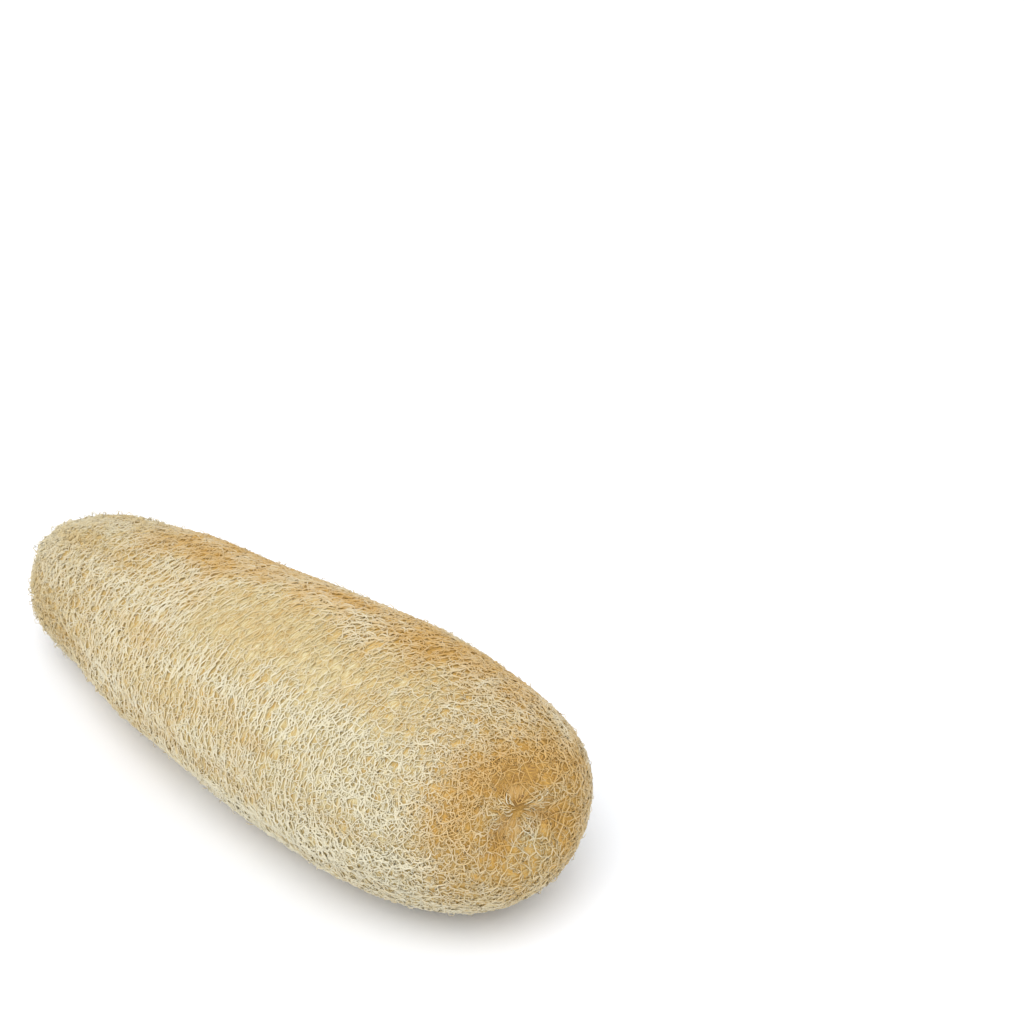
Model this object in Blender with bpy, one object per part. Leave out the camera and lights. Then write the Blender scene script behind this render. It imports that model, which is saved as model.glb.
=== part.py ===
# Natural loofah sponge: the dried fibre body of one loofah gourd, lying on its side.
# Metres, +Z up. The blossom end, with the three-lobed scar, points along +X.
# The origin is under the middle of the body's box, on the surface that it rests on.

import bmesh
import bpy
import numpy as np

# Body
LENGTH = 0.320
HALF_WIDTH = 0.0525          # at the fattest round
HALF_HEIGHT = 0.0449
STEM_HALF_WIDTH = 0.0285     # what the body would taper to at the stem end
FATTEST_AT = 0.240           # from the stem end, along the body
STEM_CAP = 0.050             # length over which the stem end rounds off
BLOSSOM_CAP = 0.0855         # and the blossom end
STEM_BLUNTNESS = 1.7         # 2 is an ellipse, more is blunter
BLOSSOM_BLUNTNESS = 2.8
SIDE_BOW = 0.009             # how far the middle bows to the side
STEM_LIFT = 0.011            # how far the stem tip turns up
SETTLE = 0.002               # how far its own weight flattens the underside
GROUND_FADE = 0.006          # height above the ground over which the relief sets in

# Blossom scar: off the axis, up and to one side, with three hollows between three ridges
SCAR_SIDE = -0.0091
SCAR_UP = 0.0174
SCAR_RADIUS = 0.020
SCAR_DISH = 0.0030           # depth of the shallow dish round it
SCAR_HOLLOW = 0.0042         # depth of each hollow below the dish
SCAR_HOLLOW_AT = 0.0110      # where a hollow is deepest, from the centre
SCAR_RIM = 0.0012
SCAR_RIDGES = (9.0, 151.0, 285.0)    # degrees round the scar
RIDGE_SHARPNESS = 1.6
SCAR_QUIET = 0.032           # within this distance the net is shallow

# Stem end: a small dimple with puckers running into it
STEM_DIMPLE = 0.0050
STEM_DIMPLE_RADIUS = 0.011
PUCKERS = 9
PUCKER_DEPTH = 0.0012

# Ribs and furrows along the body
FURROWS = 10
FURROW_DEPTH = 0.0019
FURROW_SHAPE = 0.8           # below 1 the ribs are round and the furrows narrow
FURROW_ENDS = (0.05, 0.07)   # length over which the furrows die out at the stem and blossom ends
FURROW_TOP = 0.45            # share of the depth on the upper side
FURROW_SPREAD = ((0.16, 2, 0.7), (0.09, 3, 2.1))    # uneven spacing: radians, waves round, phase
FURROW_WANDER = (0.10, 0.23)     # sway along the body: radians, and the length of a sway

# Slow lumps of the whole skin: height, length along the body, waves round, phase
SWELLS = ((0.00055, 0.115, 2, 0.4), (0.00033, 0.071, -3, 1.9), (0.00033, 0.160, 1, 4.0))

# Raised net: strands cross on the even points of the grid, and each odd point is the bottom of a cell
COLUMNS = 52                 # round the body, an even number
ROWS = 110                   # along the skin from end to end
CELL_DEPTH = 0.0021
CELL_UNEVEN = 0.35           # how much one cell's depth differs from the next
POINT_STRAY = 0.20           # how far a point strays from its place, in rows and columns
NET_DRIFT = 1.3              # slow drift of the whole net along the body, in rows
NET_TWIST = 0.06             # and round it, in radians
NET_ENDS = (2, 8)            # rows left even at each tip, and rows over which the drift sets in
QUIET_DEPTH = 0.15           # share of the cell depth that is left on the scar and the stem tip
SEED = 7

COLOUR = (0.665, 0.565, 0.347, 1.0)
ROUGHNESS = 0.85

TURN = 2 * np.pi


def clear_scene():
    for obj in list(bpy.data.objects):
        bpy.data.objects.remove(obj, do_unlink=True)


def smooth_step(x):
    x = np.clip(x, 0, 1)
    return x * x * (3 - 2 * x)


def girth(along):
    # Share of the full half width: a sine from the stem end to the fattest round, rounded off
    # at both ends.
    stem_share = STEM_HALF_WIDTH / HALF_WIDTH
    rise = np.sin(np.clip(along / FATTEST_AT, 0, 1) * np.pi / 2)
    taper = stem_share + (1 - stem_share) * rise
    into_stem = np.clip(1 - along / STEM_CAP, 0, 1)
    into_blossom = np.clip(1 - (LENGTH - along) / BLOSSOM_CAP, 0, 1)
    stem_round = (1 - into_stem ** STEM_BLUNTNESS) ** (1 / STEM_BLUNTNESS)
    blossom_round = (1 - into_blossom ** BLOSSOM_BLUNTNESS) ** (1 / BLOSSOM_BLUNTNESS)
    return taper * stem_round * blossom_round, taper, into_stem


def skin(along, angle):
    # The smooth skin: an ellipse round a slightly bowed axis, with its lowest line on the ground.
    share, taper, into_stem = girth(along)
    across = SIDE_BOW * (0.5 - np.cos(np.pi * (along / LENGTH - 0.5)))
    centre = HALF_HEIGHT * taper + STEM_LIFT * into_stem ** 2
    x = along - LENGTH / 2
    y = across + HALF_WIDTH * share * np.cos(angle)
    z = centre + HALF_HEIGHT * share * np.sin(angle) - SETTLE
    return np.stack([x, y, z], axis=-1)


def even_rows(row):
    # Rows are equally far apart on the skin: gives each row's distance along the axis, and its
    # distances over the skin from the stem tip and from the scar.
    along = LENGTH * (0.5 - 0.5 * np.cos(np.linspace(0, np.pi, 2001)))
    radius = girth(along)[0] * (HALF_WIDTH + HALF_HEIGHT) / 2
    walked = np.concatenate([[0], np.cumsum(np.hypot(np.diff(along), np.diff(radius)))])
    from_stem = row / ROWS * walked[-1]
    return np.interp(from_stem, walked, along), from_stem, walked[-1] - from_stem


def slide_to_scar(along, angle):
    # On the blossom cap the rounds are moved sideways, so that they close on the scar.
    into = np.clip(1 - (LENGTH - along) / BLOSSOM_CAP, 0, 1)
    disc = (1 - into ** BLOSSOM_BLUNTNESS) ** (1 / BLOSSOM_BLUNTNESS)
    shift = (1 - disc ** 2) ** 2
    side = disc * np.cos(angle) + SCAR_SIDE / HALF_WIDTH * shift
    up = disc * np.sin(angle) + SCAR_UP / HALF_HEIGHT * shift
    moved = np.clip(np.hypot(side, up), 0, 1)
    depth = (1 - moved ** BLOSSOM_BLUNTNESS) ** (1 / BLOSSOM_BLUNTNESS)
    on_cap = into > 0
    return (
        np.where(on_cap, LENGTH - BLOSSOM_CAP * (1 - depth), along),
        np.where(on_cap, np.arctan2(up, side), angle),
    )


def scar_relief(from_scar, angle):
    # A dish with a low rim, and three hollows that are shut off by ridges at SCAR_RIDGES.
    r = from_scar / SCAR_RADIUS
    first = SCAR_RIDGES[0]
    turned = (np.degrees(angle) - first) % 360
    marks = [ridge - first for ridge in SCAR_RIDGES] + [360]
    lobe = np.interp(turned, marks, range(len(marks)))
    ridge = np.abs(np.cos(np.pi * lobe)) ** RIDGE_SHARPNESS
    q = from_scar / SCAR_HOLLOW_AT
    hollow = q ** 2 * np.exp(1 - q ** 2)
    rim = np.exp(-((r - 1.15) / 0.25) ** 2)
    return (
        SCAR_RIM * rim
        - SCAR_DISH * (1 - smooth_step(r))
        - SCAR_HOLLOW * hollow * (1 - ridge)
    )


def stem_relief(from_stem, angle):
    # A dimple, and puckers that run into it and die out along the body.
    r = from_stem / STEM_DIMPLE_RADIUS
    pucker = 0.5 + 0.5 * np.cos(PUCKERS * angle + 0.8 * np.sin(2 * angle))
    reach = r ** 2 * np.exp(1 - r ** 2 / 4) / 4
    return -STEM_DIMPLE * np.exp(-r ** 2) - PUCKER_DEPTH * pucker * np.clip(reach, 0, 1)


def furrow_relief(along, angle):
    # Rounded ribs between narrow furrows, unevenly spaced, deeper low on the sides.
    spread = sum(size * np.sin(waves * angle + phase) for size, waves, phase in FURROW_SPREAD)
    sway, sway_length = FURROW_WANDER
    wander = sway * np.sin(TURN * along / sway_length + 2 * angle)
    rib = np.abs(np.sin(FURROWS * (angle + spread + wander) / 2)) ** FURROW_SHAPE
    low = FURROW_TOP + (1 - FURROW_TOP) * smooth_step(0.5 - 0.9 * np.sin(angle))
    at_stem, at_blossom = FURROW_ENDS
    ends = smooth_step(along / at_stem) * smooth_step((LENGTH - along) / at_blossom)
    return -FURROW_DEPTH * low * ends * (1 - rib)


def swell_relief(along, angle):
    # A few slow waves along and round the body.
    return sum(
        height * np.sin(TURN * along / length + waves * angle + phase)
        for height, length, waves, phase in SWELLS
    )


def net_points(row, angle, rng):
    # Where each point of the net lies, in rows and radians, and how deep it is below the strands.
    column = np.rint(angle / TURN * COLUMNS)
    cell = (row + column) % 2 == 1
    even, setting_in = NET_ENDS
    inside = smooth_step((np.minimum(row, ROWS - row) - even) / setting_in)
    stray = rng.uniform(-POINT_STRAY, POINT_STRAY, (2, len(row)))
    drift = np.sin(2 * angle + TURN * row / 57) + 0.5 * np.sin(5 * angle - TURN * row / 37)
    twist = np.sin(TURN * row / 31) + 0.6 * np.sin(2 * angle + TURN * row / 13)
    moved_row = row + inside * (NET_DRIFT * drift + stray[0])
    moved_angle = angle + inside * (NET_TWIST * twist + stray[1] * TURN / COLUMNS)
    uneven = 1 + CELL_UNEVEN * rng.uniform(-1, 1, len(row))
    depth = np.where(cell, uneven, 0)
    return moved_row, moved_angle, depth


def join_strands(bm, is_cell):
    # Each four-sided face is split between its two strand points, so that the strands are
    # unbroken ridges.
    for face in list(bm.faces):
        corners = [vert for vert in face.verts if not is_cell[vert.index]]
        if len(face.verts) == 4 and len(corners) == 2:
            bmesh.utils.face_split(face, *corners)


def ball_mesh():
    # A ball of rows and columns, with the row and the angle of each of its points.
    bm = bmesh.new()
    bmesh.ops.create_uvsphere(bm, u_segments=COLUMNS, v_segments=ROWS, radius=1)
    bm.verts.index_update()
    ball = np.array([vert.co[:] for vert in bm.verts])
    row = np.rint(ROWS * (1 - np.arccos(np.clip(ball[:, 2], -1, 1)) / np.pi))
    angle = np.arctan2(ball[:, 1], ball[:, 0])
    join_strands(bm, (row + np.rint(angle / TURN * COLUMNS)) % 2 == 1)
    mesh = bpy.data.meshes.new("loofah")
    bm.to_mesh(mesh)
    bm.free()
    return mesh, row, angle


def place_points(mesh, points):
    mesh.vertices.foreach_set("co", points.ravel())
    mesh.update()


def loofah_mesh():
    mesh, row, angle = ball_mesh()
    moved_row, moved_angle, depth = net_points(row, angle, np.random.default_rng(SEED))
    along, from_stem, from_scar = even_rows(moved_row)
    along, skin_angle = slide_to_scar(along, moved_angle)
    points = skin(along, skin_angle)
    place_points(mesh, points)
    normals = np.array([normal.vector[:] for normal in mesh.vertex_normals])

    # The net is shallow on the scar and at the stem tip, and fades out where the body touches
    # the ground.
    full = smooth_step(from_scar / SCAR_QUIET) * smooth_step(from_stem / STEM_CAP)
    relief = (
        -CELL_DEPTH * depth * (QUIET_DEPTH + (1 - QUIET_DEPTH) * full)
        + furrow_relief(along, skin_angle)
        + swell_relief(along, skin_angle)
    )
    relief = relief * smooth_step(points[:, 2] / GROUND_FADE)
    relief = relief + scar_relief(from_scar, moved_angle) + stem_relief(from_stem, moved_angle)
    points = points + normals * relief[:, None]
    points[:, 2] = np.maximum(points[:, 2], 0)
    middle = (points.min(axis=0) + points.max(axis=0)) / 2
    points[:, :2] -= middle[:2]
    place_points(mesh, points)
    mesh.shade_smooth()
    return mesh


def fibre_material():
    material = bpy.data.materials.new("dried_fibre")
    material.use_nodes = True
    shader = material.node_tree.nodes["Principled BSDF"]
    shader.inputs["Base Color"].default_value = COLOUR
    shader.inputs["Roughness"].default_value = ROUGHNESS
    shader.inputs["Metallic"].default_value = 0.0
    return material


def main():
    clear_scene()
    collection = bpy.data.collections.new("natural_loofah_sponge")
    bpy.context.scene.collection.children.link(collection)
    loofah = bpy.data.objects.new("loofah", loofah_mesh())
    loofah.data.materials.append(fibre_material())
    collection.objects.link(loofah)


main()
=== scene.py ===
import math

import bpy
import numpy as np
from mathutils import Matrix, Vector


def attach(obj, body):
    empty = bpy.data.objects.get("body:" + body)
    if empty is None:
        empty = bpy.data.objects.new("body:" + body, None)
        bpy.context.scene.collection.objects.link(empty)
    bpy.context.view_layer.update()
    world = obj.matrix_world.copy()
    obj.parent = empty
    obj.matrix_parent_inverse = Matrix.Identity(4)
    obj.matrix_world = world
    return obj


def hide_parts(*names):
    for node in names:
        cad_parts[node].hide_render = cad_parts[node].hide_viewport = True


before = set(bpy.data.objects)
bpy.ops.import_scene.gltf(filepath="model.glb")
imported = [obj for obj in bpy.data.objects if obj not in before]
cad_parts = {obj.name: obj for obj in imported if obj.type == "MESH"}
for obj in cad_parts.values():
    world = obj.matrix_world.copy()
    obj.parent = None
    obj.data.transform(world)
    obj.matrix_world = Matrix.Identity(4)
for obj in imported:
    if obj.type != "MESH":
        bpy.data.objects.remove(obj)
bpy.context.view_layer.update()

turn = 2 * math.pi

# A natural loofah sponge: matted felt, with a net and loose strands over it, all laid on one skin.
# A place on it is walked, the length over the skin from the stem tip, and angle, the turn round
# the body. Metres and radians.

# The skin. x runs from the stem end to the blossom end, z is up.
skin = {
    "length": 0.320,
    "halfWidth": 0.0525,  # at the fattest round
    "halfHeight": 0.0449,
    "stemHalfWidth": 0.0285,  # what the body would taper to at the stem end
    "fattestAt": 0.240,  # from the stem end
    "stemCap": 0.050,  # length over which the stem end rounds off
    "blossomCap": 0.0855,  # and the blossom end
    "stemBluntness": 1.7,  # 2 is an ellipse, more is blunter
    "blossomBluntness": 2.8,
    "sideBow": 0.009,  # how far the middle bows to the side
    "stemLift": 0.011,  # how far the stem tip turns up
    "settle": 0.002,  # how far it sinks into its flat spot
    "toMiddle": (-0.0028, 0.0013),  # puts the origin under the middle of the body's box
    "furrows": 10,
    "furrowDepth": 0.0019,
    "furrowShape": 0.8,  # below 1 the ribs are round and the furrows narrow
    "furrowTop": 0.45,  # share of the depth on the upper side
    "furrowLow": (0.5, 0.9),  # where the depth grows: its share at mid height, and how fast
    "furrowEnds": (0.05, 0.07),  # length over which they die out at the stem and blossom ends
    "furrowSpread": ((0.16, 2, 0.7), (0.09, 3, 2.1)),  # uneven spacing: turn, waves round, phase
    "furrowWander": (0.10, 0.23),  # sway along the body: turn, and the length of a sway
    # Slow lumps: height, length along the body, waves round, phase
    "swells": ((0.00055, 0.115, 2, 0.4), (0.00033, 0.071, -3, 1.9), (0.00033, 0.160, 1, 4.0)),
    "groundFade": 0.006,  # height above the ground over which the relief sets in
}

# The blossom scar: three hollows between three ridges, off the axis
scar = {
    "side": -0.0091,
    "up": 0.0174,
    "radius": 0.020,
    "dish": 0.0030,  # depth of the shallow dish round it
    "hollow": 0.0042,  # depth of each hollow below the dish
    "hollowAt": 0.0110,  # where a hollow is deepest, from the middle
    "rim": 0.0012,
    "rimAt": (1.15, 0.25),  # place and width of the rim, in radii
    "ridges": (9.0, 151.0, 285.0),  # degrees round the scar
    "ridgeSharpness": 1.6,
}

# The stem tip: a dimple with puckers, which stray round by the last number
stemTip = {"dimple": 0.0050, "radius": 0.011, "puckers": 9, "puckerDepth": 0.0012, "stray": 0.8}

# Zones of the skin: where each is gone, and where it is full, by the distance from the scar or, for
# stem, from the stem tip. A side goes by the cosine of the turn away from its middle.
zones = {
    "core": (0.012, 0.0), "cap": (0.057, 0.021), "blossom": (0.130, 0.045), "stem": (0.13125, 0.02625),
    "backSide": (0.80, 1.04), "backFromStem": (0.06, 0.11), "backFromScar": (0.035, 0.075),
    "paleSide": (0.35, 0.85), "paleFromStem": (0.17, 0.25), "paleFromScar": (0.035, 0.065),
    "bare": (0.10, 0.44),  # by how deep in a hollow it is
}

look = {
    # Matted patches: walked, angle, and half their size in both
    "mattedAt": ((0.215, 1.85, 0.062, 0.45), (0.150, 4.30, 0.070, 0.55)),
    "mattedRagged": 0.7,
    "backAt": 1.12,  # round the body to the back, which is painted more amber: partly its own colour, partly painted warm bounce light and shade
    "backTurn": (0.235, 5.0),  # from where it winds away, and how fast, per metre
    "backRagged": 0.10,
    "paleAt": 2.85,  # and to the palest side, near the blossom end
    "capAt": 1.3,  # and to the more amber side of the blossom cap
    "capWarmth": 0.56,
    "capLean": 0.45,  # how much more that side has of it
    "lowerBare": (0.45, 0.6),  # how bare the hollows on the other side are, and where that ends
    # What makes a place more amber or less. furrowShade is painted shade: the furrows are painted more
    # amber
    # back: partly the fibre's own amber, partly painted warm bounce light and shade
    "warmth": {"hollow": 0.48, "furrowShade": 0.24, "back": 0.74, "patch": 0.18, "rib": -0.15,
               "ridge": -0.30, "pale": -0.22},
    "warmest": 0.85,
    "coreWarmth": 0.28,
    # What makes its strands paler or darker. furrowShade darkens the strands in the furrows: painted
    # shade
    "tone": {"cap": -0.55, "matted": -0.50, "stem": -0.10, "rib": 0.30, "pale": 0.20,
             "blossom": 0.25, "furrowShade": -0.15},
}

# Soft noises: cells along and round the skin, seed and weight of each layer
noises = {
    "matted": ((14, 12, 31, 0.5), (31, 23, 32, 0.5)),
    "warm": ((14, 10, 33, 0.5), (60, 44, 34, 0.4)),
    "rib": ((5, 26, 35, 1.0), (12, 44, 36, 0.6)),
    "comb": ((13, 9, 51, 0.26), (40, 28, 52, 0.22)),  # in radians
    "grain": ((200, 80, 41, 1.0), (220, 160, 42, 0.5)),
}


def ease(x):
    # Zero below 0, one above 1, and a smooth cubic between.
    x = np.clip(x, 0, 1)
    return x * x * (3 - 2 * x)


def rise(x, ends):
    # Zero at the first end, one at the second, and eased between.
    return ease((x - ends[0]) / (ends[1] - ends[0]))


def unit(v):
    # Each vector over its length.
    return v / np.maximum(np.linalg.norm(v, axis=-1, keepdims=True), 1e-12)


def shortWay(angle):
    # The same turn, the short way round.
    return np.mod(angle + np.pi, turn) - np.pi


def softNoise(x, y, cellsX, cellsY, seed):
    # Random heights from -1 to 1 on a lattice of cellsX by cellsY, eased between neighbours.
    # x and y run from 0 to 1, and y closes on itself.
    heights = np.random.default_rng(seed).uniform(-1, 1, (cellsX + 1, cellsY))
    gx = np.clip(x, 0, 1) * cellsX
    gy = np.mod(y, 1) * cellsY
    ix = np.clip(np.floor(gx).astype(int), 0, cellsX - 1)
    iy = np.floor(gy).astype(int) % cellsY
    fx, fy = ease(gx - ix), ease(gy - np.floor(gy))
    near = heights[ix, iy] * (1 - fy) + heights[ix, (iy + 1) % cellsY] * fy
    far = heights[ix + 1, iy] * (1 - fy) + heights[ix + 1, (iy + 1) % cellsY] * fy
    return near * (1 - fx) + far * fx


def noiseAt(walked, angle, name):
    # The layers of one soft noise, each times its weight.
    share, way = walked / wholeWalk, angle / turn
    return sum(weight * softNoise(share, way, *layer) for *layer, weight in noises[name])


def girth(along):
    # A sine from the stem end to the fattest round, times a superellipse at each end, as a share
    # of the half width. Also the taper alone, and how far into the stem end it is.
    k = skin
    stemShare = k["stemHalfWidth"] / k["halfWidth"]
    taper = stemShare + (1 - stemShare) * np.sin(np.clip(along / k["fattestAt"], 0, 1) * np.pi / 2)
    intoStem = np.clip(1 - along / k["stemCap"], 0, 1)
    intoBlossom = np.clip(1 - (k["length"] - along) / k["blossomCap"], 0, 1)
    stemRound = (1 - intoStem ** k["stemBluntness"]) ** (1 / k["stemBluntness"])
    blossomRound = (1 - intoBlossom ** k["blossomBluntness"]) ** (1 / k["blossomBluntness"])
    return taper * stemRound * blossomRound, taper, intoStem


def walkTable():
    # The length walked over the skin from the stem tip, for many stations along the axis.
    along = skin["length"] * (0.5 - 0.5 * np.cos(np.linspace(0, np.pi, 4001)))
    radius = girth(along)[0] * (skin["halfWidth"] + skin["halfHeight"]) / 2
    steps = np.hypot(np.diff(along), np.diff(radius))
    return along, np.concatenate([[0], np.cumsum(steps)])


stations, walkedTo = walkTable()
wholeWalk = walkedTo[-1]


def scarRelief(fromScar, angle):
    # A dish with a low rim, and hollows, q squared times a bell, that are shut off by ridges.
    # Also how much of a hollow and of a ridge a place is.
    k = scar
    r = fromScar / k["radius"]
    first = k["ridges"][0]
    marks = [mark - first for mark in k["ridges"]] + [360]
    lobe = np.interp((np.degrees(angle) - first) % 360, marks, range(len(marks)))
    ridge = np.abs(np.cos(np.pi * lobe)) ** k["ridgeSharpness"]
    q = fromScar / k["hollowAt"]
    hollow = q ** 2 * np.exp(1 - q ** 2)
    rim = np.exp(-((r - k["rimAt"][0]) / k["rimAt"][1]) ** 2)
    relief = k["rim"] * rim - k["dish"] * (1 - ease(r)) - k["hollow"] * hollow * (1 - ridge)
    return relief, hollow * (1 - ridge), hollow * ridge


def furrowRelief(along, angle):
    # Ribs are the size of a sine, to the power furrowShape. The furrows between them are unevenly
    # spaced, and deeper low on the sides.
    k = skin
    spaced = angle
    for far, waves, phase in k["furrowSpread"]:
        spaced = spaced + far * np.sin(waves * angle + phase)
    wander = k["furrowWander"][0] * np.sin(turn * along / k["furrowWander"][1] + 2 * angle)
    rib = np.abs(np.sin(k["furrows"] * (spaced + wander) / 2)) ** k["furrowShape"]
    lower = ease(k["furrowLow"][0] - k["furrowLow"][1] * np.sin(angle))
    share = k["furrowTop"] + (1 - k["furrowTop"]) * lower
    ends = ease(along / k["furrowEnds"][0]) * ease((k["length"] - along) / k["furrowEnds"][1])
    return -k["furrowDepth"] * share * ends * (1 - rib)


def stemRelief(fromStem, angle):
    # A dimple, and puckers that run into it and die out along the body.
    r = fromStem / stemTip["radius"]
    pucker = 0.5 + 0.5 * np.cos(stemTip["puckers"] * angle + stemTip["stray"] * np.sin(2 * angle))
    reach = np.clip(r ** 2 * np.exp(1 - r ** 2 / 4) / 4, 0, 1)
    return -stemTip["dimple"] * np.exp(-r ** 2) - stemTip["puckerDepth"] * pucker * reach


def swellRelief(along, angle):
    # A few slow waves along and round the body.
    return sum(height * np.sin(turn * along / long + waves * angle + phase)
               for height, long, waves, phase in skin["swells"])


def bareSkin(walked, angle):
    # The smooth skin: ellipses round a bowed axis. On the blossom cap the rounds slide
    # sideways, so that they close on the scar. Also the length along the axis and the angle
    # round it, which differ from the given ones there.
    k = skin
    along = np.interp(walked, walkedTo, stations)
    p = k["blossomBluntness"]
    into = np.clip(1 - (k["length"] - along) / k["blossomCap"], 0, 1)
    disc = (1 - into ** p) ** (1 / p)
    shift = (1 - disc ** 2) ** 2
    side = disc * np.cos(angle) + scar["side"] / k["halfWidth"] * shift
    up = disc * np.sin(angle) + scar["up"] / k["halfHeight"] * shift
    moved = np.clip(np.hypot(side, up), 0, 1)
    slid = k["length"] - k["blossomCap"] * (1 - (1 - moved ** p) ** (1 / p))
    along = np.where(into > 0, slid, along)
    angle = np.where(into > 0, np.arctan2(up, side), angle)

    share, taper, intoStem = girth(along)
    across = k["sideBow"] * (0.5 - np.cos(np.pi * (along / k["length"] - 0.5)))
    centre = k["halfHeight"] * taper + k["stemLift"] * intoStem ** 2
    x = along - k["length"] / 2 + k["toMiddle"][0]
    y = across + k["halfWidth"] * share * np.cos(angle) + k["toMiddle"][1]
    z = centre + k["halfHeight"] * share * np.sin(angle) - k["settle"]
    return np.stack([x, y, z], axis=-1), along, angle


def bareFrame(walked, angle):
    # The skin's point, its slopes per metre walked and per radian, and its outward normal, from
    # the differences over a small step each way.
    step, small = 2e-4, 0.01
    w = np.clip(walked, 3 * step, wholeWalk - 3 * step)
    here, along, skinAngle = bareSkin(w, angle)
    ahead = bareSkin(w + step, angle)[0] - bareSkin(w - step, angle)[0]
    aside = bareSkin(w, angle + small)[0] - bareSkin(w, angle - small)[0]
    alongSlope, roundSlope = ahead / (2 * step), aside / (2 * small)
    normal = unit(np.cross(roundSlope, alongSlope))
    return here, alongSlope, roundSlope, normal, along, skinAngle


def skinAt(walked, angle, height):
    # A point that stands the given height above the skin with its ribs, scar and dimple.
    here, _, _, normal, along, skinAngle = bareFrame(walked, angle)
    relief = furrowRelief(along, skinAngle) + swellRelief(along, skinAngle)
    relief = relief * ease(here[..., 2] / skin["groundFade"])
    relief = relief + scarRelief(wholeWalk - walked, angle)[0] + stemRelief(walked, angle)
    return here + normal * (relief + height)[..., None], normal


def places(walked, angle):
    # What the skin is like at a place, from 0 to 1, or from about -1 to 1 for upper, rib and patch:
    # set by its distance from the scar and the stem tip, its side of the body, and noise.
    fromScar = wholeWalk - walked
    hollow, ridge = scarRelief(fromScar, angle)[1:]
    upper = np.cos(angle - look["capAt"])
    along, skinAngle = bareSkin(walked, angle)[1:]
    matted = np.zeros_like(walked)
    for at, way, longHalf, roundHalf in look["mattedAt"]:
        off = np.hypot((walked - at) / longHalf, shortWay(angle - way) / roundHalf)
        matted = np.maximum(matted, 1.5 - off)
    matted = ease(matted + look["mattedRagged"] * noiseAt(walked, angle, "matted"))
    blossom = rise(fromScar, zones["blossom"])
    patch = noiseAt(walked, angle, "warm")
    # The back is painted more amber: partly its own colour, partly painted warm bounce light and shade.
    windsFrom, winds = look["backTurn"]
    behind = np.cos(skinAngle - look["backAt"] + winds * np.maximum(walked - windsFrom, 0))
    back = rise(behind + look["backRagged"] * patch, zones["backSide"])
    pale = rise(np.cos(skinAngle - look["paleAt"]), zones["paleSide"])
    share = walked / wholeWalk
    onBody = ease(share / 0.15) * ease((1 - share) / 0.15)
    lowerBare, bareEnd = look["lowerBare"]
    return {
        "hollow": np.clip(hollow, 0, 1),
        "bare": rise(hollow, zones["bare"]) * (lowerBare + (1 - lowerBare) * ease(bareEnd + upper)),
        "core": rise(fromScar, zones["core"]),
        "upper": upper,
        "ridge": np.clip(ridge, 0, 1),
        "cap": rise(fromScar, zones["cap"]),
        "matted": matted * (1 - blossom),
        "blossom": blossom,
        "stem": rise(walked, zones["stem"]),
        "back": back * rise(walked, zones["backFromStem"]) * rise(fromScar, zones["backFromScar"]),
        "pale": pale * rise(walked, zones["paleFromStem"]) * rise(fromScar, zones["paleFromScar"]),
        "rib": np.clip(noiseAt(walked, angle, "rib") * onBody, -1, 1),
        # How deep in a furrow a place is; it only sets the painted shade there.
        "furrowShade": np.clip(-furrowRelief(along, skinAngle) / skin["furrowDepth"], 0, 1),
        "patch": patch,
    }


def weighed(here, weights):
    # What a place is like, each times its weight, added up.
    return sum(weight * here[name] for name, weight in weights.items())


def warmth(here):
    # How amber a place is: the blossom cap's share, which leans to one side, and the weights of
    # the other things, up to warmest. The scar's middle comes on top of that.
    cap = look["capWarmth"] * here["cap"] * (1 + look["capLean"] * here["upper"])
    warm = np.minimum(cap + weighed(here, look["warmth"]), look["warmest"])
    return warm + look["coreWarmth"] * here["core"]


def flat(values):
    # All the numbers in one row.
    return np.ascontiguousarray(values, np.float32).ravel()


def meshFrom(name, points, faces, uv, attributes):
    # Puts whole arrays into a mesh. faces is a list of arrays, each with one row per face.
    mesh = bpy.data.meshes.new(name)
    corners = np.concatenate([f.ravel() for f in faces])
    sizes = np.concatenate([np.full(len(f), f.shape[1]) for f in faces])
    mesh.vertices.add(len(points))
    mesh.vertices.foreach_set("co", flat(points))
    mesh.loops.add(len(corners))
    mesh.loops.foreach_set("vertex_index", corners.astype(np.int32))
    mesh.polygons.add(len(sizes))
    starts = np.concatenate([[0], np.cumsum(sizes)[:-1]])
    mesh.polygons.foreach_set("loop_start", starts.astype(np.int32))
    mesh.update(calc_edges=True)
    mesh.uv_layers.new(name="OFBake").uv.foreach_set("vector", flat(uv))
    for label, values in attributes.items():
        made = mesh.attributes.new(label, "FLOAT", "POINT")
        made.data.foreach_set("value", flat(values))
    mesh.shade_smooth()
    obj = bpy.data.objects.new(name, mesh)
    bpy.context.scene.collection.objects.link(obj)
    return obj


# Felt: the matted skin under the loose strands. Its low tone is partly painted shade between the
# strands, and its extra amber partly a painted warm glow of light inside the fibre.
felt = {
    "rows": 190,
    "columns": 160,
    "level": -0.00068,  # height over the skin
    "mattedRise": 0.00014,  # how much higher where it is matted
    "blossomDrop": 0.00015,  # how much lower at the blossom end
    "hollowRise": 0.00020,  # and how much higher in the scar's hollows
    "grain": 0.00022,
    "mattedSmooth": 0.5,  # the share of the grain that matting takes away
    # What makes it paler or darker, and more amber or less
    "tone": {"matted": 0.30, "blossom": 0.16, "cap": -0.16, "pale": 0.20, "lowerHollow": -0.6},
    "warmth": {"matted": -0.42, "blossom": 0.12, "lowerHollow": 0.35},
    # A low tone, partly painted shade between the strands, and raised warmth, partly a painted warm
    # glow
    "toneAt": -0.72,
    "warmShare": 1.3,
    "warmthAt": 0.18,
}


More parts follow.
